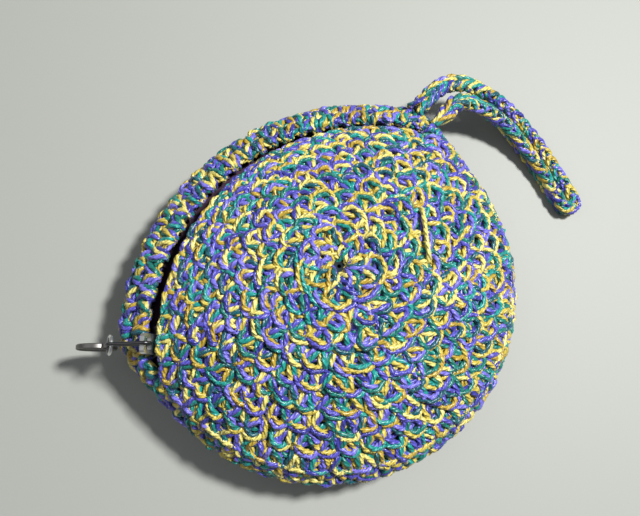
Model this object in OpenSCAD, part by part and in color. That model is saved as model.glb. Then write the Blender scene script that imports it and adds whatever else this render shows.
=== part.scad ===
// Round crocheted coin purse with a curved zip and a finger loop.
// It lies on its back panel. The mouth faces +Y, the finger loop leaves the corner at +X,
// and the closed slider stands at the corner at -X.

/* [Body] */
// Radius of the round body at its widest line
body_r = 47; // [44:0.5:52]
// Distance of the finger loop's corner from the middle
strap_corner_r = 52; // [50:0.5:57]
// Distance of the slider's corner from the middle
slider_corner_r = 50.3; // [49:0.5:56]
// Height of the domed front above the table
body_h = 29.5; // [26:0.5:36]
// Height of the widest line above the table
rim_h = 12; // [11:0.5:13]
// Thickness of the crochet
wall = 3.4; // [3:0.1:3.8]
// Thickness of the crochet at the lips of the mouth
lip_t = 2.4; // [2:0.1:2.6]
// Radius of the flat area that the purse lies on
base_r = 22; // [16:1:30]

/* [Zip] */
// Radius of the curved zip, seen from above
zip_r = 54; // [52:0.5:57]
// Distance of the zip's middle from the middle of the purse
mouth_y = 33.8; // [32.8:0.2:34.8]
// Height of the zip line on the front
zip_h = 19; // [18:0.5:21]
// Distance from the zip line out to the edge of the purse
band_w = 7.6; // [7:0.2:9]
// Gap between the two lips of the mouth
mouth_gap = 2.4; // [2.2:0.1:2.8]
// Spacing of the teeth along each row
tooth_pitch = 1.8; // [1.6:0.1:2.4]
// Thickness of the zip tape
tape_t = 0.4; // [0.3:0.05:0.5]
// Length of the slider
slider_l = 7.4; // [6.6:0.1:7.8]
// Width of the slider
slider_w = 5; // [4.6:0.1:5.2]

/* [Pull] */
// Thickness of the wire of the link and the ring
wire_d = 0.8; // [0.6:0.05:0.9]
// Radius of the ring's wire line
ring_r = 1.9; // [1.7:0.1:2.3]
// Diameter of the round disc
disc_d = 9; // [7.5:0.5:10]
// Thickness of the disc at its rim
disc_t = 1.2; // [1:0.1:1.4]

/* [Finger loop] */
// Width of the crocheted strap
strap_w = 4.3; // [3.4:0.1:4.6]
// Thickness of the crocheted strap
strap_t = 3.2; // [2.4:0.1:3.3]

/* [Motion] */
// How far the front lip lifts when the zip is open
lift_angle = 18; // [12:1:18]

/* [Hidden] */

// Gap kept between soft pieces that lie against each other
soft_gap = 0.3;
// Gap kept round the tape in the metal stops, and between links of the pull
metal_gap = 0.05;

// Plan of the purse: distances from its middle, at angles from +X
zip_cy = mouth_y - zip_r;
strap_corner_a = 20;
slider_corner_a = 160;
corner_spread = 28;
corner_round = 3;
seam_inset = 2.5;
shoulder_w = 5;
edge_power = 0.6;
dome_power = 2.2;
taper_w = 8;

function smooth_min(a, b, k) = let (h = max(k - abs(a - b), 0) / k) min(a, b) - h * h * k / 4;
function wrap(a) = a - 360 * floor((a + 180) / 360);
function arc_at(a, r) = zip_cy * sin(a) + sqrt(r * r - pow(zip_cy * cos(a), 2));
function corner_at(d, r) = body_r + (r - body_r) * pow(max(0, 1 - d / corner_spread), 2);
function side_at(a) = abs(wrap(a)) < 90 ? corner_at(strap_corner_a - wrap(a), strap_corner_r)
                                        : corner_at(wrap(a - slider_corner_a), slider_corner_r);
function rim_at(a) = smooth_min(arc_at(a, zip_r + band_w), side_at(a), corner_round);
function shoulder_at(a) = smooth_min(arc_at(a, zip_r), rim_at(a) - shoulder_w, 1);
function lip_at(a, side) = smooth_min(arc_at(a, zip_r + side * mouth_gap / 2),
                                      rim_at(a) - seam_inset + side * mouth_gap / 2, 1);

// Upper skin of the purse, and its slope
function top_z(a, r) = let (e = rim_at(a), s = shoulder_at(a))
  r > s ? rim_h + (zip_h - rim_h) * pow(max(0, (e - r) / (e - s)), edge_power)
        : zip_h + (body_h - zip_h) * (1 - pow(r / s, dome_power));
function top_xy(x, y) = top_z(atan2(y, x), norm([x, y]));
function normal_at(x, y) = let (
    d = 0.05,
    n = [top_xy(x - d, y) - top_xy(x + d, y), top_xy(x, y - d) - top_xy(x, y + d), 2 * d]
  ) n / norm(n);

// Thickness of the crochet at a distance from its free edge
function wall_at(d) = lip_t + (wall - lip_t) * min(1, max(0, d) / taper_w);

// Fold line of the front: the line that the lip bends about, between two points of the zip
function zip_a(run) = run / zip_r * 180 / PI;
fold_slider_a = zip_a(41.5);
fold_strap_a = -zip_a(35.8);
fold_z = 22;
fold_extra = 1.5;
lip_r = zip_r - mouth_gap / 2;
function zip_point(phi, r) = [-r * sin(phi), zip_cy + r * cos(phi)];
fold_from = zip_point(fold_slider_a, lip_r);
fold_to = zip_point(fold_strap_a, lip_r);
fold_dir = (fold_to - fold_from) / norm(fold_to - fold_from);
fold_out = [-fold_dir[1], fold_dir[0]];
fold_d = fold_from * fold_out;
fold_a = atan2(fold_out[1], fold_out[0]);
fold_from_a = atan2(fold_from[1], fold_from[0]);
fold_to_a = atan2(fold_to[1], fold_to[0]);

// Zip: places across the tape (a) and out of the purse (n), in the tilted plane of the zip
zip_tilt = 32;
chain_n = -5.2;
chain_half = 1.5;
tooth_h = 1.6;
tape_edge = 1.2;
tape_front_w = 6.6;
tape_back_w = 4.6;
tape_trim_w = 2.9;
tape_trim_a = zip_a(46.2);
tape_full_slider = zip_a(45.2);
tape_full_strap = -zip_a(47.1);
tape_end_slider = zip_a(52.3);
tape_end_strap = -zip_a(51.8);
teeth_end_slider = zip_a(47.1);
teeth_end_strap = -zip_a(48.1);
slider_rest = zip_a(46.65);
slider_open = -zip_a(41.5);
function zip_rz(a, n) = [zip_r + a * cos(zip_tilt) + n * sin(zip_tilt),
                         zip_h - a * sin(zip_tilt) + n * cos(zip_tilt)];

// Turns a shape drawn at the zip's plane to an angle along the zip
module at_zip(phi) {
  translate([0, zip_cy, 0]) rotate([0, 0, 90 + phi]) translate([zip_r, 0, zip_h])
    rotate([0, zip_tilt, 0]) children();
}
// A strip of constant section along the zip, between two angles
module zip_strip(section, from, to) {
  translate([0, zip_cy, 0]) rotate([0, 0, 90 + from])
    rotate_extrude(angle = to - from, $fn = 180)
      polygon([for (p = section) zip_rz(p[0], p[1])]);
}

// Closed skin from rings of points. Each ring runs from the upper pole out to the edge
// and back below it to the lower pole.
module skin(rings, upper_pole, lower_pole) {
  n = len(rings);
  m = len(rings[0]);
  points = concat([for (ring = rings) each ring], [upper_pole, lower_pole]);
  faces = [for (i = [0 : n - 1]) let (p = i * m, q = ((i + 1) % n) * m) each concat(
      [[n * m, q, p]],
      [for (j = [0 : m - 2]) each [[p + j, q + j, q + j + 1], [p + j, q + j + 1, p + j + 1]]],
      [[n * m + 1, p + m - 1, q + m - 1]])];
  polyhedron(points, faces, convexity = 6);
}

// Back panel: flat base, round side and the band that turns up over the rim
bowl_steps = 6;
band_steps = 5;
ring_step = 5;
function bowl_section(a) = let (e = rim_at(a), b = lip_at(a, 1)) concat(
    [[base_r * 0.5, 0]],
    [for (t = [0 : 90 / bowl_steps : 90]) [base_r + (e - base_r) * sin(t), rim_h * (1 - cos(t))]],
    [for (j = [1 : band_steps]) let (r = e - (e - b) * pow(j / band_steps, 1.5)) [r, top_z(a, r)]]);
function turned(v) = [-v[1], v[0]] / norm(v);
function inner_section(s) = let (m = len(s) - 1) [for (j = [0 : m]) let (
    v = s[min(j + 1, m)] - s[max(j - 1, 0)],
    up = j < 2 ? [0, 1] : turned(v),
    t = wall_at(norm(s[m] - s[j]))
  ) s[j] + up * (j < 2 ? wall : t)];
function on_ray(a, p) = [p[0] * cos(a), p[0] * sin(a), p[1]];

module back_panel() {
  rings = [for (a = [0 : ring_step : 359]) let (s = bowl_section(a), i = inner_section(s), m = len(s) - 1)
    concat([for (p = i) on_ray(a, p)], [for (j = [m : -1 : 0]) on_ray(a, s[j])])];
  color("teal") skin(rings, [0, 0, wall], [0, 0, 0]);
}

// Front panel: the dome up to the fold line and the joining round
front_steps = 8;
function fold_at(a) = (fold_d - soft_gap / 2) / cos(a - fold_a);
function by_fold(a) = a > fold_to_a && a < fold_from_a;
function front_edge(a) = by_fold(a) ? min(fold_at(a), lip_at(a, -1)) : lip_at(a, -1);
function front_inner(p, edge_d, upright) = let (
    n = normal_at(p[0], p[1]),
    way = n * (1 - upright) + [0, 0, 1] * upright
  ) p - wall_at(edge_d) * way / norm(way);

module front_panel() {
  fold_n = 22;
  round_n = 46;
  angles = concat([for (i = [0 : fold_n - 1]) fold_to_a + (fold_from_a - fold_to_a) * i / fold_n],
                  [for (i = [0 : round_n - 1]) fold_from_a + (fold_to_a + 360 - fold_from_a) * i / round_n]);
  rings = [for (a = angles) let (
      e = front_edge(a),
      upper = [for (j = [1 : front_steps]) let (r = e * pow(j / front_steps, 0.8)) on_ray(a, [r, top_z(a, r)])]
    ) concat(upper, [for (j = [front_steps - 1 : -1 : 0])
        front_inner(upper[j], lip_at(a, -1) - norm([upper[j][0], upper[j][1]]),
                    by_fold(a) ? pow((j + 1) / front_steps, 2) : 0)])];
  color("mediumpurple") skin(rings, [0, 0, body_h], [0, 0, body_h - wall]);
}

// Front lip: the part of the dome between the fold line and the zip
lip_cols = 30;
lip_rows = 6;
lip_end_w = 3.4;
lip_lean = 0.5;
function fold_point(s, w) = fold_dir * s + fold_out * w;
function above(p) = [p[0], p[1], top_xy(p[0], p[1])];
function lean_at(z) = fold_d + soft_gap / 2 + max(0, z - fold_z) * tan(lift_angle + fold_extra);

module front_lip() {
  c = [0, zip_cy];
  cs = c * fold_dir;
  cw = c * fold_out;
  start = fold_d + lip_end_w;
  half = sqrt(pow(lip_r, 2) - pow(start - cw, 2));
  cols = [for (i = [0 : lip_cols]) let (
      s = cs - half * cos(180 * i / lip_cols),
      out = cw + sqrt(pow(lip_r, 2) - pow(s - cs, 2)),
      z0 = above(fold_point(s, fold_d))[2],
      upper = [for (j = [0 : lip_rows]) let (w0 = min(lean_at(z0), out - 0.4))
        above(fold_point(s, w0 + (out - w0) * j / lip_rows))],
      lower = [for (j = [0 : lip_rows]) let (
          far = (out - fold_d) * (1 - j / lip_rows),
          p = front_inner(upper[j], far, 1 - sqrt(j / lip_rows)) - lip_lean * [fold_out[0], fold_out[1], 0]
        ) j > 0 ? p : let (q = fold_point(s, lean_at(p[2]))) [q[0], q[1], p[2]]]
    ) concat(upper, [for (j = [lip_rows : -1 : 0]) lower[j]])];
  m = 2 * (lip_rows + 1);
  faces = concat(
    [for (j = [0 : lip_rows - 1]) let (p = lip_cols * m) each
      [[p + j, p + m - 2 - j, p + m - 1 - j], [p + j, p + j + 1, p + m - 2 - j]]],
    [for (j = [0 : lip_rows - 1]) each [[j, m - 1 - j, m - 2 - j], [j, m - 2 - j, j + 1]]],
    [for (i = [0 : lip_cols - 1]) let (p = i * m, q = p + m) each
      [for (j = [0 : m - 1]) let (k = (j + 1) % m) each [[p + j, p + k, q + k], [p + j, q + k, q + j]]]]);
  color("mediumpurple") polyhedron([for (col = cols) each col], faces, convexity = 6);
}

// Tube of a round section along points, with flat ends. Each ring stands across the path.
function ring_round(p, dir, rx, rz, n) = let (
    side = cross(dir, [0, 0, 1]) / norm(cross(dir, [0, 0, 1])),
    up = cross(side, dir)
  ) [for (k = [0 : n - 1]) p + side * rx * cos(360 * k / n) + up * rz * sin(360 * k / n)];
module tube(path, rx, rz, n) {
  last = len(path) - 1;
  points = [for (i = [0 : last]) let (d = path[min(i + 1, last)] - path[max(i - 1, 0)])
    each ring_round(path[i], d / norm(d), rx, rz, n)];
  faces = concat(
    [for (i = [0 : last - 1]) each [for (k = [0 : n - 1]) let (p = i * n + k, q = i * n + (k + 1) % n)
      each [[p, q, q + n], [p, q + n, p + n]]]],
    [[for (k = [n - 1 : -1 : 0]) k], [for (k = [0 : n - 1]) last * n + k]]);
  polyhedron(points, faces, convexity = 8);
}

// Joining round: the yarn in the groove between the two panels, round the closed side
module joining_round() {
  yarn_r = mouth_gap / 2 - soft_gap - 0.1;
  from = 180 + 8;
  to = 352;
  path = [for (a = [from : 4 : to]) let (r = lip_at(a, 0), n = normal_at(r * cos(a), r * sin(a)))
    on_ray(a, [r, top_z(a, r)]) - n * (lip_t / 2 + yarn_r / 4)];
  color("goldenrod") tube(path, yarn_r, yarn_r, 8);
}

// Zip tapes: a flat strip each side of the teeth
tape_top = chain_n + tape_t / 2;
tape_low = chain_n - tape_t / 2;
function tape_section(from, to) = [[from, tape_top], [to, tape_top], [to, tape_low], [from, tape_low]];

module zip_tape_back() {
  trim = [[tape_trim_w, tape_top + 1], [tape_back_w + 1, tape_top + 1],
          [tape_back_w + 1, tape_low - 1], [tape_trim_w, tape_low - 1]];
  color("#3d2233") difference() {
    zip_strip(tape_section(tape_edge, tape_back_w), tape_end_strap, tape_end_slider);
    zip_strip(trim, tape_trim_a, tape_end_slider + 1);
  }
}
module zip_tape_front() {
  rise = 0.5;
  run = slider_w / 2 + 0.8;
  section = [[-tape_edge, tape_top], [-run, tape_top], [-run - 0.8, tape_top + rise],
             [-tape_front_w, tape_top + rise], [-tape_front_w, tape_low + rise],
             [-run - 0.7, tape_low + rise], [-run, tape_low], [-tape_edge, tape_low]];
  beyond = tape_front_w + 1;
  trim = [[0.3 - run, tape_top + 2], [-beyond, tape_top + 2], [-beyond, tape_low - 1],
          [0.3 - run, tape_low - 1]];
  color("#3d2233") difference() {
    zip_strip(section, tape_end_strap, tape_end_slider);
    zip_strip(trim, tape_end_strap - 1, tape_full_strap);
    zip_strip(trim, tape_full_slider, tape_end_slider + 1);
  }
}

// Zip teeth: each row is a beaded edge with its teeth, and the two rows mesh
tooth_reach = 0.45;
tooth_space = 0.3;
tooth_step = zip_a(tooth_pitch);
tooth_l = tooth_pitch / 2 - tooth_space / 2;
module tooth_row(side, shift) {
  bead = [[side * 1.0, chain_n + 0.45], [side * chain_half, chain_n + 0.45],
          [side * chain_half, chain_n - 0.45], [side * 1.0, chain_n - 0.45]];
  count = floor((teeth_end_slider - teeth_end_strap) / tooth_step - 1);
  width = chain_half + tooth_reach;
  zip_strip(bead, teeth_end_strap, teeth_end_strap + (count + 1) * tooth_step);
  for (k = [0 : count - 1]) at_zip(teeth_end_strap + (k + 0.5 + shift) * tooth_step)
    translate([side * (chain_half - width / 2 - 0.1), 0, chain_n])
      cube([width - 0.2, tooth_l, tooth_h], center = true);
}
module zip_teeth_back() { color("#2b2430") tooth_row(1, 0); }
module zip_teeth_front() { color("#2b2430") tooth_row(-1, 0.5); }

// Stops: two clips past the closed slider, and one clip across both rows at the other end
stop_l = 1;
stop_inset = 0.75;
bottom_stop_inset = 1.2;
module zip_top_stops() {
  color("dimgray") for (side = [-1, 1]) at_zip(tape_end_slider - zip_a(stop_inset))
    translate([side * tape_edge, 0, chain_n]) difference() {
      cube([stop_l, stop_l, 1.5], center = true);
      translate([side * (stop_l / 2 - metal_gap), 0, 0])
        cube([stop_l, stop_l + 1, tape_t + 2 * metal_gap], center = true);
    }
}
module zip_bottom_stop() {
  color("dimgray") at_zip(teeth_end_strap - zip_a(bottom_stop_inset)) translate([0, 0, chain_n]) difference() {
    cube([2 * chain_half + 1, stop_l + 0.2, 2], center = true);
    for (side = [-1, 1]) translate([side * (tape_edge - metal_gap + chain_half / 2), 0, 0])
      cube([chain_half, stop_l + 1, tape_t + 2 * metal_gap], center = true);
  }
}

// Slider: two plates with turned-in sides, joined by the wedge that parts the rows
plate_t = 0.5;
chain_room = tooth_h / 2 + 0.3;
flange_t = 0.45;
slot_h = tape_t + 0.5;
wedge_l = 1.6;
module slider_outline() {
  nose = slider_l / 2;
  polygon([[-slider_w * 0.42, -nose], [slider_w * 0.42, -nose], [slider_w / 2, -nose * 0.2],
           [slider_w / 2, nose * 0.6], [slider_w * 0.36, nose], [0.3, nose * 0.78],
           [-0.3, nose * 0.78], [-slider_w * 0.36, nose], [-slider_w / 2, nose * 0.6],
           [-slider_w / 2, -nose * 0.2]]);
}
module slider_side(side, low, high) {
  translate([side * (slider_w / 2 - flange_t / 2), -slider_l * 0.02, (low + high) / 2])
    cube([flange_t, slider_l * 0.56, high - low], center = true);
}
module slider_body() {
  color("#5a5a60") at_zip(slider_rest) translate([0, 0, chain_n]) {
    for (z = [chain_room, -chain_room - plate_t]) translate([0, 0, z])
      linear_extrude(plate_t) slider_outline();
    for (side = [-1, 1]) {
      slider_side(side, slot_h / 2, chain_room + 0.1);
      slider_side(side, -chain_room - 0.1, -slot_h / 2);
    }
    translate([0, slider_l / 2 * 0.78 - wedge_l / 2, 0]) rotate([0, 0, 90])
      cube([wedge_l, 0.6, 2 * chain_room + 0.2], center = true);
  }
}

// Bridge: the metal arch on the slider that stands out between the lips
bridge_w = 1.2;
bridge_l = 4.4;
bridge_post = 0.9;
bridge_top = 2.3;
bridge_low = chain_n + chain_room + plate_t;
eye_low = -0.2;
eye_high = 1.5;
bridge_y = slider_l / 2 - bridge_l / 2 - 0.9;
bar_n = (eye_high + bridge_top) / 2;
module slider_bridge() {
  end = bridge_l / 2;
  round_n = bridge_top - 0.6;
  color("silver") at_zip(slider_rest) translate([bridge_w / 2, bridge_y, 0]) rotate([0, -90, 0])
    linear_extrude(bridge_w) difference() {
      polygon([[bridge_low, -end], [round_n, -end], [bridge_top - 0.2, 0.25 - end],
               [bridge_top, 0.7 - end], [bridge_top, end - 0.7], [bridge_top - 0.2, end - 0.25],
               [round_n, end], [bridge_low, end]]);
      translate([eye_low, bridge_post - end]) square([eye_high - eye_low, bridge_l - 2 * bridge_post]);
    }
}

// Pull: a link round the bridge's bar, a ring through the link, and a disc on the ring.
// The link stands out over the band, long enough to keep the disc clear of the purse's edge.
pull_clear = 0.4;
pull_drop = 20;
ring_drop = 70;
disc_drop = 50;
link_half = 1.25;
link_back = 0.35;
link_l = band_w + disc_d / 2 - 5.1 + pull_clear;
link_grip = link_l - link_back + link_half - wire_d - metal_gap;
eye_r = wire_d / 2 + 0.35;
lug_r = eye_r + 0.6;
lug_t = 0.9;
function falls(angle, d) = [d * cos(angle - pull_drop), 0, -d * sin(angle - pull_drop)];
ring_foot = [link_grip, 0, 0] + falls(ring_drop, 2 * ring_r);
ring_rise = ring_r - sqrt(ring_r * ring_r - lug_t * lug_t / 4);
disc_eye = ring_foot + falls(disc_drop, eye_r - wire_d / 2 - metal_gap - ring_rise);
module at_pull() {
  at_zip(slider_rest) translate([0, bridge_y, bar_n]) rotate([0, pull_drop - zip_tilt, 0]) children();
}
module pull_link() {
  color("#3a3a40") at_pull() translate([-link_back, 0, 0]) {
    for (side = [-1, 1]) translate([0, 0, side * link_half]) rotate([0, 90, 0])
      cylinder(d = wire_d, h = link_l, $fn = 24);
    for (end = [0, 1]) translate([end * link_l, 0, 0]) rotate([90, 90 + 180 * (1 - end), 0])
      rotate_extrude(angle = 180, $fn = 48) translate([link_half, 0])
        circle(d = wire_d, $fn = 24);
  }
}
module pull_ring() {
  color("silver") at_pull() translate([link_grip, 0, 0]) rotate([0, ring_drop - pull_drop, 0])
    translate([ring_r, 0, 0]) rotate_extrude($fn = 64) translate([ring_r, 0])
      circle(d = wire_d, $fn = 24);
}
module pull_disc() {
  rim_w = 0.8;
  sunk = 0.25;
  r = disc_d / 2;
  color("#6a6a70") at_pull() translate(disc_eye) rotate([0, disc_drop - pull_drop, 0])
    rotate([90, 0, 0]) difference() {
      union() {
        translate([r + eye_r * 0.4, 0, 0]) rotate_extrude($fn = 96) polygon([
          [0, -disc_t / 2 + sunk], [r - rim_w, -disc_t / 2 + sunk], [r - rim_w + 0.2, -disc_t / 2],
          [r - 0.2, -disc_t / 2], [r, -disc_t / 2 + 0.2], [r, disc_t / 2 - 0.2], [r - 0.2, disc_t / 2],
          [r - rim_w + 0.2, disc_t / 2], [r - rim_w, disc_t / 2 - sunk], [0, disc_t / 2 - sunk]]);
        cylinder(r = lug_r, h = lug_t, center = true, $fn = 40);
      }
      cylinder(r = eye_r, h = 2 * disc_t, center = true, $fn = 32);
    }
}

// Finger loop: a narrow strap folded in two, that turns on edge as it reaches the table
loop_line = [[strap_corner_r - 0.8, 15.9, 14], [55.4, 16.6, 14.1], [61, 15, 12.6], [66, 10, 9.8], [69.5, 3, 6.6],
             [71, -5, 4], [70.8, -13, 2.6], [69.6, -20, 2.3], [68.3, -26, 2.3]];
root_half = 3.1;
tip_half = strap_t / 2 + soft_gap;
loop_steps = 30;
loop_sides = 10;
function smooth(t) = let (u = min(1, max(0, t))) u * u * (3 - 2 * u);
function spline(p, t) = let (
    n = len(p) - 1,
    i = min(floor(t * n), n - 1),
    u = t * n - i,
    a = p[max(i - 1, 0)], b = p[i], c = p[i + 1], d = p[min(i + 2, n)]
  ) 0.5 * (2 * b + (c - a) * u + (2 * a - 5 * b + 4 * c - d) * u * u + (3 * b - a - 3 * c + d) * u * u * u);
function loop_way(t) = let (v = spline(loop_line, min(1, t + 0.01)) - spline(loop_line, max(0, t - 0.01)))
  v / norm(v);
function loop_side(t) = let (s = cross(loop_way(t), [0, 0, 1])) s / norm(s);
function loop_half(t) = root_half + (tip_half - root_half) * smooth(t / 0.6);
function loop_leg(t, side) = spline(loop_line, t) + loop_side(t) * side * loop_half(t);
function leg_ring(t, side, g = 0) = let (
    s = loop_side(t), up = cross(s, loop_way(t)), roll = 90 * smooth((t - 0.1) / 0.5),
    middle = loop_leg(t, side) - loop_way(t) * strap_t / 2 * sin(g)
  ) [for (k = [0 : loop_sides - 1]) let (
      b = 360 * k / loop_sides,
      u = strap_w / 2 * cos(b), v = strap_t / 2 * sin(b) * cos(g)
    ) middle + s * (u * cos(roll) - v * sin(roll)) + up * (u * sin(roll) + v * cos(roll))];
function turned_back(r) = [for (k = [0 : loop_sides - 1]) r[(loop_sides - k) % loop_sides]];
module finger_loop() {
  last = loop_steps;
  turn_steps = 6;
  tip = spline(loop_line, 1);
  out = loop_way(1);
  side = loop_side(1);
  up = cross(side, out);
  turn = [for (i = [1 : turn_steps - 1]) let (g = 180 * i / turn_steps, way = side * cos(g) + out * sin(g))
    [for (k = [0 : loop_sides - 1]) let (b = 360 * k / loop_sides)
      tip + way * (tip_half - strap_t / 2 * sin(b)) + up * strap_w / 2 * cos(b)]];
  round_end = [75, 50, 25];
  rings = concat([for (g = round_end) leg_ring(0, 1, g)],
                 [for (i = [0 : last]) leg_ring(i / last, 1)], turn,
                 [for (i = [last : -1 : 0]) turned_back(leg_ring(i / last, -1))],
                 [for (i = [2 : -1 : 0]) turned_back(leg_ring(0, -1, round_end[i]))]);
  n = loop_sides;
  total = len(rings) - 1;
  faces = concat(
    [for (i = [0 : total - 1]) each [for (k = [0 : n - 1]) let (p = i * n + k, q = i * n + (k + 1) % n)
      each [[p, q, q + n], [p, q + n, p + n]]]],
    [[for (k = [n - 1 : -1 : 0]) k], [for (k = [0 : n - 1]) total * n + k]]);
  color("goldenrod") polyhedron([for (r = rings) each r], faces, convexity = 8);
}

// Loop stitches: yarn turns that hold both ends of the strap at the corner
stitch_r = 0.6;
stitch_side = 1.1;
stitch_gap = 0.9;
module loop_stitches() {
  color("seagreen") for (side = [-1, 1]) for (k = [-1, 1]) let (
      end = loop_leg(0, side),
      from = end + [-5.6, k * stitch_side, 0.4],
      to = end + [-strap_t / 2 - stitch_gap, k * stitch_side, 0.1]
    ) tube([from, (from + to) / 2 + [0, 0, 0.3], to], stitch_r, stitch_r, 8);
}

// Sewing thread: staples of thread through the tape into the crochet, along both lips
thread_d = 0.5;
thread_span = 3.6;
thread_step = 6;
thread_reach = 41.5;
thread_inset = 9;
thread_front_a = 5;
module staples(a, low_n, high_n, from, to) {
  step = zip_a(thread_step);
  for (phi = [from : step : to]) at_zip(phi) translate([a, 0, 0]) {
    for (y = [-thread_span / 2, thread_span / 2]) translate([0, y, low_n])
      cylinder(d = thread_d, h = high_n - low_n, $fn = 16);
    translate([0, 0, low_n]) rotate([90, 0, 0])
      cylinder(d = thread_d, h = thread_span, center = true, $fn = 16);
  }
}
module sewing_thread_back() {
  color("#3d2233") staples(tape_back_w - 0.7, tape_low - thread_d / 2 - 0.02, -2.6,
                           -zip_a(thread_reach), zip_a(thread_reach));
}
module sewing_thread_front() {
  color("#3d2233") staples(-thread_front_a, tape_low + 0.5 - thread_d / 2 - 0.02, -2.6,
                           fold_strap_a + zip_a(thread_inset), fold_slider_a - zip_a(thread_inset));
}

back_panel();
front_panel();
front_lip();
joining_round();
zip_tape_back();
zip_tape_front();
zip_teeth_back();
zip_teeth_front();
zip_top_stops();
zip_bottom_stop();
slider_body();
slider_bridge();
pull_link();
pull_ring();
pull_disc();
finger_loop();
loop_stitches();
sewing_thread_back();
sewing_thread_front();
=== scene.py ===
"""Round crocheted coin purse: yarn worked stitch by stitch, zip, metal pull, floor, light and camera.

Sizes are in millimetres until they reach a mesh, which is in metres. On a skin, the angle a goes round
the purse in degrees from +X, and the run s goes from the middle of the panel (0) to its edge.
"""

import bpy
import math
import numpy as np
from mathutils import Matrix, Vector


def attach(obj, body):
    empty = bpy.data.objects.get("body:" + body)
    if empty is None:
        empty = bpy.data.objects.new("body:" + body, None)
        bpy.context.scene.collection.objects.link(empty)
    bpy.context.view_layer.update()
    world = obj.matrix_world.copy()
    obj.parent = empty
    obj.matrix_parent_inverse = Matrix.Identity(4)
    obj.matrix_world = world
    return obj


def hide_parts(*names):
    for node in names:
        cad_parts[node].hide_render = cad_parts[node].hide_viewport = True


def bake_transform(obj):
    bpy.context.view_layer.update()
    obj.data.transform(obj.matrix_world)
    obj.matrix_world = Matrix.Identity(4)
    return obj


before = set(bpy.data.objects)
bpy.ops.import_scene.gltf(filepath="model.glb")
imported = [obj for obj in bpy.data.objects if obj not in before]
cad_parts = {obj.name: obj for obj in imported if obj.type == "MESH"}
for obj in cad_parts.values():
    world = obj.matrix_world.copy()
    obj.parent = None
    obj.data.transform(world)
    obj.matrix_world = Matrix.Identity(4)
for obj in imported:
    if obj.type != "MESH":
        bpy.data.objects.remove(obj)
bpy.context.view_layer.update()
rng = np.random.default_rng(7)
MM = 0.001

# Plan of the purse, as in the solids
BODY_R = 47.0
STRAP_CORNER_R = 52.0
SLIDER_CORNER_R = 50.3
STRAP_CORNER_A = 20.0
SLIDER_CORNER_A = 160.0
CORNER_SPREAD = 28.0
CORNER_ROUND = 3.0
BODY_H = 29.5
RIM_H = 12.0
BASE_R = 22.0
SHOULDER_W = 5.0
SEAM_INSET = 2.5
EDGE_POWER = 0.6
DOME_POWER = 2.2
ZIP_R = 54.0
ZIP_H = 19.0
MOUTH_Y = 33.8
ZIP_CY = MOUTH_Y - ZIP_R
BAND_W = 7.6
MOUTH_GAP = 2.4

# Skins: how the rounds are spaced over the dome, the bowl and the band
DOME_MEAN_R = 44.0
BOWL_RUN = BASE_R + 29.0
BAND_POWER = 1.35
SKIN_ANGLES = 360
SKIN_RUNS = 240

# Yarn: three strands worked as one
STRAND_R = 0.62
STRAND_SIDES = 6
STRAND_FLAT = 0.17
STRAND_END = 0.45
PLY_LENGTH = 3.0
STITCH_W = 4.7
YARN_DEPTH = 1.1
YARN_EDGE = 0.9
SEAM_HALF = 0.3
TABLE_GAP = 0.03
ANY_ANGLE = 6.28

# Rounds: on the front, on the back up to the widest line, and on the band outside the zip
FRONT_ROUNDS = 10
BACK_ROUNDS = 11
RIM_ROUND = 8
BAND_ROUNDS = 2
ROUND_TURN = 17.0

# Shares of a round's height where its stitches start, where the very first ones do, and its middle
ROUND_START, FIRST_START, ROUND_MIDDLE = 0.12, 0.42, 0.6

# Rounds with narrower hooks, and the share of the width that these have
NARROW_ROUNDS, NARROW_HOOK = 3, 0.8

# How far a stitch stands out of its place round the purse, as a share of a stitch
STITCH_DRIFT = 0.05

# Points along a strand and spread of the three strands, in the parts of a stitch
# The spread up and down is a share of the spread sideways
LEG_POINTS, LEG_SPREAD = 29, 0.56
HOOK_POINTS, HOOK_SPREAD = 19, 0.55
UNDER_POINTS, UNDER_SPREAD, UNDER_SIDES = 7, 0.8, 5
RISE_SHARE = 0.62

# Painted shade: a dark shell under the yarn that stands for the shade in the gaps between stitches. Depth
# of its two faces below the skin
SHADE_SHELL_OUT = 1.75
SHADE_SHELL_IN = 2.35
SHADE_SHELL_FROM = 0.01


# Outline of the body
def smooth_min(a, b, k):
    h = np.maximum(k - np.abs(a - b), 0) / k
    return np.minimum(a, b) - h * h * k / 4


def wrap(a):
    return (a + 180) % 360 - 180


def arc_at(a, r):
    s, c = np.sin(np.radians(a)), np.cos(np.radians(a))
    return ZIP_CY * s + np.sqrt(r * r - (ZIP_CY * c) ** 2)


def corner_at(d, r):
    return BODY_R + (r - BODY_R) * np.maximum(0, 1 - d / CORNER_SPREAD) ** 2


def side_at(a):
    strap = corner_at(STRAP_CORNER_A - wrap(a), STRAP_CORNER_R)
    slider = corner_at(wrap(a - SLIDER_CORNER_A), SLIDER_CORNER_R)
    return np.where(np.abs(wrap(a)) < 90, strap, slider)


def rim_at(a):
    return smooth_min(arc_at(a, ZIP_R + BAND_W), side_at(a), CORNER_ROUND)


def shoulder_at(a):
    return smooth_min(arc_at(a, ZIP_R), rim_at(a) - SHOULDER_W, 1)


def lip_at(a, side):
    mouth = side * (MOUTH_GAP / 2 + YARN_EDGE)
    return smooth_min(arc_at(a, ZIP_R + mouth), rim_at(a) - SEAM_INSET + side * SEAM_HALF, 1)


def top_z(a, r):
    e, s = rim_at(a), shoulder_at(a)
    band = RIM_H + (ZIP_H - RIM_H) * np.clip((e - r) / (e - s), 0, None) ** EDGE_POWER
    dome = ZIP_H + (BODY_H - ZIP_H) * (1 - np.clip(r / s, 0, 1) ** DOME_POWER)
    return np.where(r > s, band, dome)


def polar(a, r, z):
    return np.stack([r * np.cos(np.radians(a)), r * np.sin(np.radians(a)), z], -1)


def unit(v):
    return v / np.maximum(np.linalg.norm(v, axis=-1, keepdims=True), 1e-9)


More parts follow.
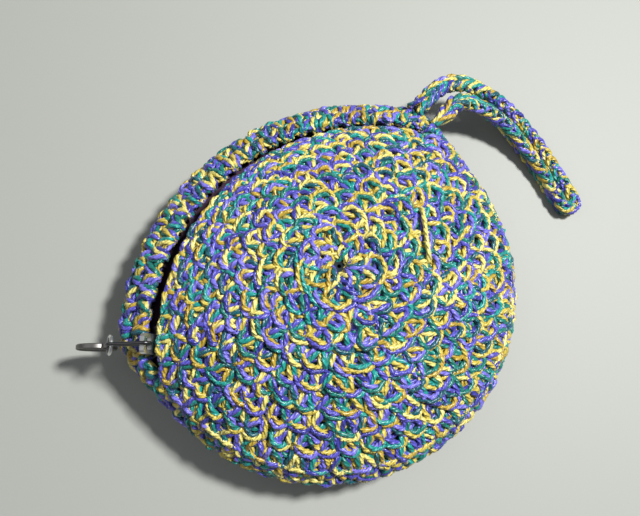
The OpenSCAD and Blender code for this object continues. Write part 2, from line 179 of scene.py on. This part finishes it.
# Skins
class Skin:
    """A surface over angle a and run s, held as a fine grid of points and outward normals."""

    def __init__(self, at, s_max, out_sign):
        self.s_max = s_max
        a = np.arange(SKIN_ANGLES) * 360 / SKIN_ANGLES
        aa, ss = np.meshgrid(a, np.linspace(0, s_max, SKIN_RUNS), indexing="ij")
        self.points = at(aa, ss)
        da = np.roll(self.points, -1, 0) - np.roll(self.points, 1, 0)
        ds = np.gradient(self.points, axis=1)
        n = np.cross(da, ds) * out_sign
        size = np.linalg.norm(n, axis=-1, keepdims=True)
        n = np.where(size > 1e-9, n / np.maximum(size, 1e-9), 0)
        # All angles share one normal in the middle
        n[:, 0] = n[:, 3].mean(0) / np.linalg.norm(n[:, 3].mean(0))
        self.normals = n
        self.across = np.linalg.norm(da, axis=-1) / 2
        self.along = np.linalg.norm(ds, axis=-1)

    def look(self, grid, a, s):
        x = (a % 360) * SKIN_ANGLES / 360
        y = np.clip(s / self.s_max, 0, 0.99999) * (SKIN_RUNS - 1)
        i, j = x.astype(int) % SKIN_ANGLES, y.astype(int)
        u, v = x - np.floor(x), y - j
        if grid.ndim == 3:
            u, v = u[..., None], v[..., None]
        k = (i + 1) % SKIN_ANGLES
        low = grid[i, j] * (1 - u) + grid[k, j] * u
        high = grid[i, j + 1] * (1 - u) + grid[k, j + 1] * u
        return low * (1 - v) + high * v

    def mm_per_degree(self, a, s):
        return self.look(self.across, a, s) * SKIN_ANGLES / 360

    def mm_per_run(self, a, s):
        return self.look(self.along, a, s) * (SKIN_RUNS - 1) / self.s_max

    def place(self, a, s, h):
        """Points at a height h above the skin."""
        n = self.look(self.normals, a, s)
        n /= np.maximum(np.linalg.norm(n, axis=-1, keepdims=True), 1e-9)
        return self.look(self.points, a, s) + n * h[..., None]


def front_at(a, s):
    r = s * (DOME_MEAN_R + (lip_at(a, -1) - DOME_MEAN_R) * s * s)
    return polar(a, r, top_z(a, r))


def back_at(a, s):
    """Flat base and bowl up to the widest line (s to 1), then the band over the rim (s to 2)."""
    e, b = rim_at(a), lip_at(a, 1)
    flat = np.clip(s * BOWL_RUN / BASE_R, 0, 1)
    t = np.clip((s * BOWL_RUN - BASE_R) / (BOWL_RUN - BASE_R), 0, 1) * 90
    bowl_r = np.where(t > 0, BASE_R + (e - BASE_R) * np.sin(np.radians(t)), BASE_R * flat)
    bowl_z = RIM_H * (1 - np.cos(np.radians(t)))
    band_r = e - (e - b) * np.clip(s - 1, 0, 1) ** BAND_POWER
    over = s > 1
    return polar(a, np.where(over, band_r, bowl_r), np.where(over, top_z(a, band_r), bowl_z))


front = Skin(front_at, 1.0, -1)
back = Skin(back_at, 2.0, 1)


# Scene objects
def add_object(name, data):
    made = bpy.data.objects.new(name, data)
    bpy.context.scene.collection.objects.link(made)
    return made


def joined(name, parts):
    """Joins meshes into the first one."""
    if len(parts) > 1:
        with bpy.context.temp_override(active_object=parts[0], selected_editable_objects=parts,
                                       object=parts[0], selected_objects=parts):
            bpy.ops.object.join()
    parts[0].name = name
    parts[0].data.name = name
    return parts[0]


# Strands
def smooth_path(points, count):
    """Catmull-Rom curve through key points (n, d) or (paths, n, d), with count points."""
    p = np.asarray(points, float)
    if p.ndim == 2:
        p = p[None]
    p = np.concatenate([2 * p[:, :1] - p[:, 1:2], p, 2 * p[:, -1:] - p[:, -2:-1]], 1)
    t = np.linspace(0, p.shape[1] - 3 - 1e-6, count)
    i = t.astype(int)
    u = (t - i)[None, :, None]
    a, b, c, d = p[:, i], p[:, i + 1], p[:, i + 2], p[:, i + 3]
    square = (2 * a - 5 * b + 4 * c - d) * u**2
    cube = (3 * b - a - 3 * c + d) * u**3
    return 0.5 * (2 * b + (c - a) * u + square + cube)


def strand_sides(way):
    """Directions across each strand, carried along it from one point to the next."""
    side = np.zeros_like(way)
    side[:, 0] = unit(np.cross(way[:, 0], [0.3, 0.2, 1.0]))
    for m in range(1, way.shape[1]):
        v = side[:, m - 1]
        side[:, m] = unit(v - way[:, m] * np.sum(v * way[:, m], -1, keepdims=True))
    return side


def strand_points(paths, run, radius, sides, flat):
    """Rings of points round each strand. A ring is oval and turns along the strand, as two plies do."""
    count, points, _ = paths.shape
    way = unit(np.gradient(paths, axis=1))
    side = strand_sides(way)
    up = np.cross(way, side)
    turn = 2 * math.pi * run / (2 * PLY_LENGTH) + rng.uniform(0, ANY_ANGLE, (count, 1))
    theta = np.arange(sides) * 2 * math.pi / sides
    ring = turn[..., None] + theta
    end = np.ones(points)
    end[0] = end[-1] = STRAND_END
    reach = (radius * (1 + flat * np.cos(2 * theta)))[None, None, :] * end[None, :, None]
    co = paths[:, :, None] + side[:, :, None] * (np.cos(ring) * reach)[..., None]
    co = co + up[:, :, None] * (np.sin(ring) * reach)[..., None]
    co[..., 2] = np.maximum(co[..., 2], TABLE_GAP)
    return co


def strand_faces(count, points, sides):
    """Quads along all strands, and the caps on their ends."""
    k = np.arange(sides)
    after = (k + 1) % sides
    first = (np.arange(count)[:, None, None] * points + np.arange(points - 1)[None, :, None]) * sides
    quads = np.stack([first + k, first + after, first + sides + after, first + sides + k], -1)
    start = np.arange(count)[:, None] * points
    caps = np.concatenate([start * sides + k[::-1], (start + points - 1) * sides + k])
    return quads.reshape(-1, 4), caps


def paint_strands(mesh, tones, points, sides):
    """Gives each strand's faces the material of its tone."""
    used = sorted(set(tones))
    index = {tone: i for i, tone in enumerate(used)}
    for tone in used:
        mesh.materials.append(MATERIALS[tone])
    tone_of = np.array([index[t] for t in tones])
    per_face = np.concatenate([np.repeat(tone_of, (points - 1) * sides), tone_of, tone_of])
    mesh.polygons.foreach_set("material_index", per_face.astype(np.int32))


def add_strand_uv(mesh, run, corners, quad_corners, sides):
    """Length along a strand in u, and the share of the way round it in v."""
    run_of = np.repeat(run.reshape(-1), sides)
    around = np.tile(np.arange(sides) / sides, run.size)
    flat_uv = np.stack([run_of[corners], around[corners]], -1)
    late = np.zeros(len(corners), bool)
    late[:quad_corners] = np.tile([False, True, True, False], quad_corners // 4)
    # The quads that close a ring end at v = 1
    flat_uv[(corners % sides == 0) & late, 1] = 1.0
    uv = mesh.uv_layers.new(name="strand")
    uv.data.foreach_set("uv", flat_uv.astype(np.float32).ravel())


def strands(name, paths, tones, radius=STRAND_R, sides=STRAND_SIDES, flat=STRAND_FLAT):
    """One mesh of two-ply strands along paths (count, points, 3). tones gives each strand's material."""
    paths = np.asarray(paths, float)
    count, points, _ = paths.shape
    step = np.linalg.norm(np.diff(paths, axis=1), axis=-1)
    run = np.concatenate([np.zeros((count, 1)), np.cumsum(step, 1)], 1)
    co = strand_points(paths, run, radius, sides, flat)
    quads, caps = strand_faces(count, points, sides)
    corners = np.concatenate([quads.ravel(), caps.ravel()])
    sizes = np.concatenate([np.full(len(quads), 4), np.full(len(caps), sides)])
    starts = np.concatenate([[0], np.cumsum(sizes)[:-1]])
    mesh = bpy.data.meshes.new(name)
    mesh.vertices.add(co.size // 3)
    mesh.vertices.foreach_set("co", (co * MM).astype(np.float32).ravel())
    mesh.loops.add(len(corners))
    mesh.loops.foreach_set("vertex_index", corners.astype(np.int32))
    mesh.polygons.add(len(sizes))
    mesh.polygons.foreach_set("loop_start", starts.astype(np.int32))
    paint_strands(mesh, tones, points, sides)
    mesh.polygons.foreach_set("use_smooth", np.ones(len(sizes), bool))
    mesh.update()
    add_strand_uv(mesh, run, corners, quads.size, sides)
    mesh.validate()
    return add_object(name, mesh)


# Colours of the three strands, each in a few tones, with the share of each tone
TONES = {
    "gold": [(0.62, 0.49, 0.07), (0.76, 0.66, 0.17), (0.50, 0.34, 0.03)],
    "teal": [(0.002, 0.19, 0.15), (0.006, 0.30, 0.26), (0.002, 0.10, 0.13)],
    "violet": [(0.09, 0.08, 0.50), (0.18, 0.16, 0.68), (0.04, 0.04, 0.33)],
}
TONE_SHARES = [0.45, 0.33, 0.22]
COLOURS = list(TONES)
MATERIALS = {}

# Lines of twisted fibres: lines a millimetre, lines round the strand, strength and height in metres
FIBRE_LINES_ALONG = 1.15
FIBRE_LINES_ROUND = 3
FIBRE_STRENGTH = 0.85
FIBRE_HEIGHT = 0.00014
COAT_ROUGHNESS = 0.22


def new_material(name, colour, roughness, metallic=0.0, sheen=0.0, coat=0.0):
    material = bpy.data.materials.new(name)
    material.use_nodes = True
    inputs = material.node_tree.nodes["Principled BSDF"].inputs
    inputs["Base Color"].default_value = (*colour, 1)
    inputs["Roughness"].default_value = roughness
    inputs["Metallic"].default_value = metallic
    inputs["Sheen Weight"].default_value = sheen
    inputs["Coat Weight"].default_value = coat
    inputs["Coat Roughness"].default_value = COAT_ROUGHNESS
    return material


def add_fibre_lines(material):
    """Fine slanted lines of twisted fibres, from each strand's length and angle."""
    tree = material.node_tree

    def math_node(operation, factor=None):
        node = tree.nodes.new("ShaderNodeMath")
        node.operation = operation
        if factor is not None:
            node.inputs[1].default_value = factor
        return node

    uv = tree.nodes.new("ShaderNodeUVMap")
    uv.uv_map = "strand"
    split = tree.nodes.new("ShaderNodeSeparateXYZ")
    along = math_node("MULTIPLY", 2 * math.pi * FIBRE_LINES_ALONG)
    around = math_node("MULTIPLY_ADD", 2 * math.pi * FIBRE_LINES_ROUND)
    wave = math_node("SINE")
    bump = tree.nodes.new("ShaderNodeBump")
    bump.inputs["Strength"].default_value = FIBRE_STRENGTH
    bump.inputs["Distance"].default_value = FIBRE_HEIGHT
    tree.links.new(uv.outputs[0], split.inputs[0])
    tree.links.new(split.outputs["X"], along.inputs[0])
    tree.links.new(split.outputs["Y"], around.inputs[0])
    tree.links.new(along.outputs[0], around.inputs[2])
    tree.links.new(around.outputs[0], wave.inputs[0])
    tree.links.new(wave.outputs[0], bump.inputs["Height"])
    tree.links.new(bump.outputs["Normal"], tree.nodes["Principled BSDF"].inputs["Normal"])


def make_materials():
    for colour, tones in TONES.items():
        for i, tone in enumerate(tones):
            name = f"{colour}_{i}"
            MATERIALS[name] = new_material(name, tone, 0.33, sheen=0.12, coat=0.4)
            add_fibre_lines(MATERIALS[name])
    # Painted shade: a near-black blue green for the shell under the yarn and the loop's core, standing
    # for the shade in the gaps between strands
    MATERIALS["shade"] = new_material("yarn_shade", (0.008, 0.018, 0.026), 0.9)
    MATERIALS["tape"] = new_material("zip_tape_plum", (0.055, 0.018, 0.045), 0.85, sheen=0.2)
    MATERIALS["teeth"] = new_material("zip_teeth_plum", (0.045, 0.015, 0.04), 0.45)
    MATERIALS["gunmetal"] = new_material("gunmetal", (0.10, 0.10, 0.105), 0.34, metallic=1)
    MATERIALS["silver"] = new_material("silver", (0.80, 0.80, 0.78), 0.33, metallic=1)
    MATERIALS["worn"] = new_material("worn_metal", (0.20, 0.19, 0.18), 0.42, metallic=1)
    MATERIALS["floor"] = new_material("floor_pale", (0.36, 0.37, 0.335), 0.6)


def tone_for(strand):
    colour = COLOURS[strand % 3]
    return f"{colour}_{rng.choice(3, p=TONE_SHARES)}"


# Stitches: keys are across (stitch widths), along (round heights) and height (mm)
LEG_V = np.array([
    (-0.50, 1.12, -1.9), (-0.46, 0.94, -0.3), (-0.34, 0.64, 0.32), (-0.16, 0.28, 0.20),
    (0.0, 0.02, -1.0), (0.15, 0.22, 0.05), (0.28, 0.55, 0.30), (0.38, 0.86, -0.3), (0.44, 1.05, -1.9),
])
HOOK = np.array([
    (-0.56, 0.30, -1.6), (-0.48, 0.62, 0.0), (-0.20, 0.94, 0.62), (0.16, 1.04, 0.55), (0.44, 0.86, 0.0),
    (0.56, 0.60, -1.6),
])
UNDER = (
    np.array([(-0.80, 0.16, -1.5), (-0.30, 0.26, -0.6), (0.30, 0.34, -0.6), (0.80, 0.46, -1.5)]),
    np.array([(-0.75, 0.88, -1.5), (-0.28, 0.76, -0.65), (0.30, 0.66, -0.65), (0.78, 0.58, -1.5)]),
)


def uneven(keys, n):
    """The keys of n stitches, each a little wider, leaning or shifted, as stitches by hand are."""
    shape = np.repeat(keys[None], n, 0)
    shape[..., 0] *= rng.uniform(0.86, 1.16, (n, 1))
    shape[..., 0] += (shape[..., 1] - 0.5) * rng.normal(0.10, 0.16, (n, 1)) + rng.normal(0, 0.05, (n, 1))
    shape[..., 1] += shape[..., 0] * rng.normal(0, 0.14, (n, 1)) + rng.normal(0, 0.06, (n, 1))
    shape[..., :] += rng.normal(0, 0.035, shape.shape) * [1, 1, 4]
    return shape


def worked(skin, a, s, width, height, keys, count, spread):
    """Three strands along keys, for stitches at angles a and runs s. Gives (stitches, 3, points, 3)."""
    n = len(a)
    flat = smooth_path(uneven(keys, n), count)
    x = flat[..., 0] * width[:, None]
    y = flat[..., 1] * height[:, None]
    h = flat[..., 2]
    dx, dy = np.gradient(x, axis=1), np.gradient(y, axis=1)
    size = np.maximum(np.hypot(dx, dy), 1e-6)
    nx, ny = -dy / size, dx / size
    t = np.linspace(0, 1, count)[None]
    out = []
    phase = rng.uniform(0, 2 * math.pi, (n, 1))
    twist = rng.uniform(0.6, 2.6, (n, 1)) * rng.choice([-1, 1], (n, 1), p=[0.25, 0.75])
    for strand in range(3):
        angle = phase + 2 * math.pi * strand / 3 + twist * t * math.pi
        side = spread * np.cos(angle)
        rise = RISE_SHARE * spread * np.sin(angle)
        aa = a[:, None] + (x + nx * side) / np.maximum(skin.mm_per_degree(a, s), 0.02)[:, None]
        ss = s[:, None] + (y + ny * side) / skin.mm_per_run(a, s)[:, None]
        out.append(skin.place(aa, ss, h + rise - YARN_DEPTH))
    return np.stack(out, 1)


def collect(store, made):
    """Keeps strands (stitches, 3, points, 3) by their number of points, with a tone for each."""
    n, _, points, _ = made.shape
    paths, tones = store.setdefault(points, ([], []))
    paths.append(made.reshape(n * 3, points, 3))
    tones.extend(tone_for(k % 3) for k in range(n * 3))


def pieces_from(name, store, sides=STRAND_SIDES):
    """Joins the strands of a store into one piece per yarn colour."""
    made = []
    for colour in COLOURS:
        parts = []
        for points, (paths, tones) in store.items():
            all_paths = np.concatenate(paths)
            keep = [i for i, t in enumerate(tones) if t.startswith(colour)]
            if keep:
                chosen = [tones[i] for i in keep]
                parts.append(strands(f"{name}_{colour}_{points}", all_paths[keep], chosen, sides=sides))
        made.append(joined(f"{name}_{colour}", parts))
    return made


def crochet_rounds(skin, wanted, rounds, store, under, s_from=0.0, bare=1):
    """The wanted rounds of stitches, where runs s_from to s_from + 1 hold so many rounds.

    The first rounds, as many as bare says, have no hooks.
    """
    for k in wanted:
        s0 = s_from + (k + (ROUND_START if s_from + k else FIRST_START)) / rounds
        middle = s_from + (k + ROUND_MIDDLE) / rounds
        a_probe = np.arange(0, 360, 5.0)
        around = skin.mm_per_degree(a_probe, np.full(len(a_probe), middle)).mean() * 360
        n = max(6, int(round(around / STITCH_W)))
        start = ROUND_TURN * k + 360 / n * 0.5 * (k % 2)
        a = start + np.arange(n) * 360 / n + rng.normal(0, STITCH_DRIFT * 360 / n, n)
        s = np.full(n, s0)
        width = skin.mm_per_degree(a, np.full(n, middle)) * 360 / n
        height = skin.mm_per_run(a, np.full(n, middle)) / rounds
        collect(store, worked(skin, a, s, width, height, LEG_V, LEG_POINTS, LEG_SPREAD))
        if k >= bare:
            hook = HOOK * [NARROW_HOOK if k < NARROW_ROUNDS else 1, 1, 1]
            collect(store, worked(skin, a, s, width, height, hook, HOOK_POINTS, HOOK_SPREAD))
        if s_from + k:
            for keys in UNDER:
                collect(under, worked(skin, a, s, width, height, keys, UNDER_POINTS, UNDER_SPREAD))


def painted_shade_shell(name, skin, rows, columns=180):
    """Closed dark skin a little below the yarn, so no light comes through between stitches. Its colour is
    painted shade for the deep gaps between stitches.
    """
    a = np.arange(columns) * 360 / columns
    aa, ss = np.meshgrid(a, np.linspace(SHADE_SHELL_FROM, skin.s_max, rows), indexing="ij")
    top = skin.place(aa, ss, np.full(aa.shape, -SHADE_SHELL_OUT))
    low = skin.place(aa, ss, np.full(aa.shape, -SHADE_SHELL_IN))
    top[..., 2] = np.maximum(top[..., 2], TABLE_GAP)
    low[..., 2] = np.maximum(low[..., 2], TABLE_GAP + SHADE_SHELL_IN - SHADE_SHELL_OUT)
    co = np.concatenate([top.reshape(-1, 3), low.reshape(-1, 3)])
    faces = []
    size = columns * rows
    for i in range(columns):
        k = (i + 1) % columns
        for j in range(rows - 1):
            p, q = i * rows + j, k * rows + j
            faces.append((p, p + 1, q + 1, q))
            faces.append((size + p, size + q, size + q + 1, size + p + 1))
        p, q = i * rows + rows - 1, k * rows + rows - 1
        faces.append((p, size + p, size + q, q))
        p, q = i * rows, k * rows
        faces.append((p, q, size + q, size + p))
    mesh = bpy.data.meshes.new(name)
    mesh.from_pydata([tuple(c * MM) for c in co], [], faces)
    mesh.materials.append(MATERIALS["shade"])
    mesh.polygons.foreach_set("use_smooth", np.ones(len(mesh.polygons), bool))
    mesh.update()
    return add_object(name, mesh)


def across_fold(piece):
    """Bakes a piece's placement into its mesh."""
    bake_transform(piece)


# Panels. The loose strand is a long float that lies on the front
LOOSE_STRAND = [
    (24.6, -1.4, 24.6), (23.5, -2.6, 27.2), (21.2, -5.6, 28.0), (18.6, -9.0, 28.3), (17.0, -11.3, 27.9),
    (16.2, -12.4, 25.4),
]
LOOSE_POINTS = 26


def make_front():
    store, under = {}, {}
    crochet_rounds(front, range(FRONT_ROUNDS), FRONT_ROUNDS, store, under)
    made = pieces_from("front_yarn", store) + pieces_from("front_under", under, UNDER_SIDES)
    made.append(strands("front_loose_strand", smooth_path(LOOSE_STRAND, LOOSE_POINTS), ["gold_1"]))
    # A dark shell under the yarn, painted shade for the gaps between stitches
    made.append(painted_shade_shell("front_painted_shade_shell", front, rows=40))
    for piece in made:
        across_fold(piece)
    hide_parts("front_panel", "front_lip")


def make_back():
    store, rim, under = {}, {}, {}
    crochet_rounds(back, range(RIM_ROUND), BACK_ROUNDS, store, under)
    crochet_rounds(back, range(RIM_ROUND, BACK_ROUNDS), BACK_ROUNDS, rim, under)
    crochet_rounds(back, range(BAND_ROUNDS), BAND_ROUNDS, rim, under, s_from=1.0, bare=BAND_ROUNDS)
    made = pieces_from("back_yarn", store) + pieces_from("back_rim", rim)
    made += pieces_from("back_under", under, UNDER_SIDES)
    # A dark shell under the yarn, painted shade for the gaps between stitches
    made.append(painted_shade_shell("back_painted_shade_shell", back, rows=70))
    for piece in made:
        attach(piece, "purse")
    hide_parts("back_panel")


# Seam: yarn turns over the groove between the two panels. Keys are in mm, turns in degrees
SEAM_FROM, SEAM_TO, SEAM_STEP = 172.0, 372.0, 4.2
SEAM_TURN = [(-1.9, -2.2, -1.9), (-1.1, -1.7, -0.3), (0.0, 0.0, 0.25), (1.1, 1.7, -0.3), (1.9, 2.2, -1.9)]
SEAM_POINTS = 18
SEAM_SPREAD = 0.55
SEAM_RISE = 0.35
SEAM_TWIST = 3


def make_seam():
    """Yarn turns over the groove between the two panels, round the closed side."""
    a = np.arange(SEAM_FROM, SEAM_TO, SEAM_STEP)
    n = len(a)
    r = lip_at(a, 0)
    middle = polar(a, r, top_z(a, r))
    radial = polar(a, np.ones(n), np.zeros(n))
    tangent = np.stack([-radial[:, 1], radial[:, 0], np.zeros(n)], -1)
    d = 0.4
    slope = unit(polar(a, r + d, top_z(a, r + d)) - polar(a, r - d, top_z(a, r - d)))
    normal = unit(np.cross(tangent, slope))
    normal *= np.sign(normal[:, 2:3])
    keys = np.repeat(np.array(SEAM_TURN)[None], n, 0) * rng.uniform(0.85, 1.15, (n, 1, 1))
    flat = smooth_path(keys, SEAM_POINTS)
    phase = rng.uniform(0, ANY_ANGLE, (n, 1))
    t = np.linspace(0, 1, SEAM_POINTS)[None]
    out = []
    for strand in range(3):
        angle = phase + 2 * math.pi * strand / 3 + t * SEAM_TWIST
        x = flat[..., 0] + SEAM_SPREAD * np.cos(angle)
        h = flat[..., 2] + SEAM_RISE * np.sin(angle) - YARN_DEPTH
        out.append(middle[:, None] + tangent[:, None] * x[..., None] + slope[:, None] * flat[..., 1:2]
                   + normal[:, None] * h[..., None])
    store = {}
    collect(store, np.stack(out, 1))
    made = pieces_from("seam_yarn", store)
    for piece in made:
        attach(piece, "purse")
    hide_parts("joining_round")


# Finger loop, as in the solids
LOOP_Y = 15.9
LOOP_Z = 14
LOOP_LINE = np.array([
    (STRAP_CORNER_R - 0.8, LOOP_Y, LOOP_Z), (55.4, 16.6, 14.1), (61, 15, 12.6), (66, 10, 9.8),
    (69.5, 3, 6.6), (71, -5, 4), (70.8, -13, 2.6), (69.6, -20, 2.3), (68.3, -26, 2.3),
])
STRAP_W = 4.3
STRAP_T = 3.2
ROOT_HALF = 3.1
TIP_HALF = STRAP_T / 2 + 0.3
ROOT_TUCK = 4.2
TUCK_RISE = 0.2
TURN_POINTS = 14
CORE_R = 0.95
CORE_POINTS = 150

# Shares of a leg: where it starts to turn on edge, how long that takes, and where the legs have met
ROLL_FROM, ROLL_OVER, MEET_AT = 0.1, 0.5, 0.6

# Stitches of the loop: keys are across (shares of a column), along (shares of a stitch) and height (mm)
LOOP_STITCH = np.array([
    (0.05, -0.10, -0.9), (0.16, 0.12, -0.1), (0.42, 0.50, 0.42), (0.78, 0.92, 0.30), (1.02, 1.18, -0.5),
    (0.98, 1.30, -1.3),
])
LOOP_PITCH = 3.3
LOOP_POINTS = 19
LOOP_SPREAD = 0.44
LOOP_RISE = 0.30
LOOP_TWIST = 3.5
LOOP_DEPTH = 0.95
LOOP_SHIFT = 0.3
COLUMN_SHARE = 0.36
STITCH_REACH = 1.35
STRAND_SLANT = 0.7


def ease(t):
    t = np.clip(t, 0, 1)
    return t * t * (3 - 2 * t)


def loop_leg(side, count=120):
    """Middle, across and up of one leg of the loop, from its root to the turn."""
    t = np.linspace(0, 1, count)
    middle = smooth_path(LOOP_LINE, count)[0]
    way = unit(np.gradient(middle, axis=0))
    across = unit(np.cross(way, [0, 0, 1.0]))
    up = np.cross(across, way)
    roll = np.radians(90 * ease((t - ROLL_FROM) / ROLL_OVER))[:, None]
    half = (ROOT_HALF + (TIP_HALF - ROOT_HALF) * ease(t / MEET_AT))[:, None]
    p = middle + across * side * half
    u = across * np.cos(roll) + up * np.sin(roll)
    v = -across * np.sin(roll) + up * np.cos(roll)
    return p, u, v


def whole_loop():
    """One run along the strap: out along one leg, round the turn and back along the other."""
    p1, u1, v1 = loop_leg(1)
    p2, u2, v2 = loop_leg(-1)
    tip, out = (p1[-1] + p2[-1]) / 2, unit(np.cross([0, 0, 1.0], p1[-1] - p2[-1]))
    if np.dot(out, p1[-1] - p1[-5]) < 0:
        out = -out
    side = unit(p1[-1] - p2[-1])
    g = np.linspace(0, math.pi, TURN_POINTS)[1:-1, None]
    away = side * np.cos(g) + out * np.sin(g)
    turn = tip + away * TIP_HALF
    tuck = np.array([[-ROOT_TUCK, 0, TUCK_RISE], [-ROOT_TUCK / 2, 0, TUCK_RISE / 2]])
    turn_u = np.repeat(u1[-1:], len(turn), 0)
    p = np.concatenate([p1[0] + tuck, p1, turn, p2[::-1], p2[0] + tuck[::-1]])
    u = np.concatenate([np.repeat(u1[:1], 2, 0), u1, turn_u, u2[::-1], np.repeat(u2[:1], 2, 0)])
    v = np.concatenate([np.repeat(v1[:1], 2, 0), v1, -away, -v2[::-1], np.repeat(-v2[:1], 2, 0)])
    run = np.concatenate([[0], np.cumsum(np.linalg.norm(np.diff(p, axis=0), axis=1))])
    return p, u, v, run


def along_run(table, run, at):
    return np.stack([np.interp(at, run, table[:, i]) for i in range(3)], -1)


def loop_column(p, u, v, run, face, column):
    """One column of stitches, on one face of the strap and one side of its middle line."""
    n = int(run[-1] / LOOP_PITCH)
    start = (np.arange(n) + LOOP_SHIFT * (column > 0)) * LOOP_PITCH
    shape = np.repeat(LOOP_STITCH[None], n, 0)
    shape += rng.normal(0, 0.04, shape.shape)
    flat = smooth_path(shape, LOOP_POINTS)
    x = flat[..., 0] * column * STRAP_W * COLUMN_SHARE
    y = flat[..., 1] * LOOP_PITCH * STITCH_REACH
    h = flat[..., 2]
    phase = rng.uniform(0, ANY_ANGLE, (n, 1))
    t = np.linspace(0, 1, LOOP_POINTS)[None]
    out = []
    for strand in range(3):
        angle = phase + 2 * math.pi * strand / 3 + t * LOOP_TWIST
        side = LOOP_SPREAD * np.cos(angle)
        rise = LOOP_RISE * np.sin(angle)
        at = np.clip(start[:, None] + y + side * STRAND_SLANT, 0, run[-1])
        middle, across, up = along_run(p, run, at), along_run(u, run, at), along_run(v, run, at)
        out.append(middle + across * (x - side * STRAND_SLANT)[..., None]
                   + up * (face * (STRAP_T / 2 - LOOP_DEPTH + h + rise))[..., None])
    return np.stack(out, 1)


def make_loop():
    p, u, v, run = whole_loop()
    store = {}
    for face in (1, -1):
        for column in (1, -1):
            collect(store, loop_column(p, u, v, run, face, column))
    made = pieces_from("loop_yarn", store)
    core_path = along_run(p, run, np.linspace(0, run[-1], CORE_POINTS))[None]
    # A dark core inside the loop, painted shade for the gaps between its strands
    made.append(strands("loop_painted_shade_core", core_path, ["shade"], radius=CORE_R, sides=10, flat=0.0))
    for piece in made:
        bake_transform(piece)
    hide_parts("finger_loop", "loop_stitches")


# Zip and pull: the material of each solid that is shown as it is
PAINT = {
    "zip_tape_back": "tape", "sewing_thread_back": "tape", "zip_teeth_back": "teeth",
    "zip_top_stops": "gunmetal", "zip_bottom_stop": "gunmetal", "slider_body": "gunmetal",
    "slider_bridge": "silver", "pull_link": "gunmetal", "pull_ring": "silver", "pull_disc": "worn",
}


def paint(piece, tone):
    piece.data.materials.clear()
    piece.data.materials.append(MATERIALS[tone])


def make_zip():
    """The front side of the zip is a copy of its solids, with its placement baked into the mesh."""
    for node in ("zip_tape_front", "zip_teeth_front", "sewing_thread_front"):
        kind = "teeth" if "teeth" in node else "tape"
        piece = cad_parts[node].copy()
        piece.data = piece.data.copy()
        piece.parent = None
        piece.name = f"{node}_soft"
        piece.data.name = piece.name
        bpy.context.scene.collection.objects.link(piece)
        paint(piece, kind)
        across_fold(piece)
        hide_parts(node)
    for node, tone in PAINT.items():
        paint(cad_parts[node], tone)


# Stage: the camera's place in mm, and its directions in the object's frame
FLOOR_HALF = 1.5
CAMERA_PLACE = (-35.9, -7.5, 162.5)
CAMERA_FORWARD = (0.243, 0.083, -0.967)
CAMERA_RIGHT = (0.744, -0.655, 0.131)
CAMERA_LENS = 36
CAMERA_SENSOR = 36

# Lights: metres from the middle of the purse to the camera's right, its up and back towards it
KEY_PLACE, KEY_SIZE, KEY_POWER = (0.30, 0.22, 0.42), 0.08, 4.8
FILL_PLACE, FILL_SIZE, FILL_POWER = (-0.45, 0.15, 0.55), 0.6, 0.85
SKY_COLOUR, SKY_STRENGTH = (0.85, 0.9, 1.0), 0.17


def make_floor():
    mesh = bpy.data.meshes.new("floor")
    half = FLOOR_HALF
    corners = [(-half, -half, 0), (half, -half, 0), (half, half, 0), (-half, half, 0)]
    mesh.from_pydata(corners, [], [(0, 1, 2, 3)])
    mesh.materials.append(MATERIALS["floor"])
    add_object("floor", mesh)


def make_camera():
    """The camera of the photograph, in the object's frame. Gives its right, up and forward."""
    forward = Vector(CAMERA_FORWARD).normalized()
    right = Vector(CAMERA_RIGHT)
    right = (right - forward * right.dot(forward)).normalized()
    up = right.cross(forward)
    data = bpy.data.cameras.new("camera")
    data.lens = CAMERA_LENS
    data.sensor_width = CAMERA_SENSOR
    data.clip_start = 0.01
    camera = add_object("camera", data)
    turn = Matrix((right, up, -forward)).transposed()
    camera.matrix_world = Matrix.Translation(Vector(CAMERA_PLACE) * MM) @ turn.to_4x4()
    bpy.context.scene.camera = camera
    return right, up, forward


def add_light(name, place, aim, size, power):
    data = bpy.data.lights.new(name, "AREA")
    data.size = size
    data.energy = power
    light = add_object(name, data)
    light.location = place
    light.rotation_mode = "QUATERNION"
    light.rotation_quaternion = (Vector(aim) - Vector(place)).to_track_quat("-Z", "Y")


def make_light(right, up, forward):
    """A small key light on the right, a broad fill on the left and a faint sky."""
    middle = Vector((0, 0, RIM_H * MM))

    def at(place):
        return middle + right * place[0] + up * place[1] - forward * place[2]

    add_light("key", at(KEY_PLACE), middle, KEY_SIZE, KEY_POWER)
    add_light("fill", at(FILL_PLACE), middle, FILL_SIZE, FILL_POWER)
    world = bpy.data.worlds.new("world")
    world.use_nodes = True
    background = world.node_tree.nodes["Background"]
    background.inputs["Color"].default_value = (*SKY_COLOUR, 1)
    background.inputs["Strength"].default_value = SKY_STRENGTH
    bpy.context.scene.world = world


make_materials()
make_front()
make_back()
make_seam()
make_loop()
make_zip()
make_floor()
make_light(*make_camera())
bpy.context.scene.view_settings.view_transform = "Standard"
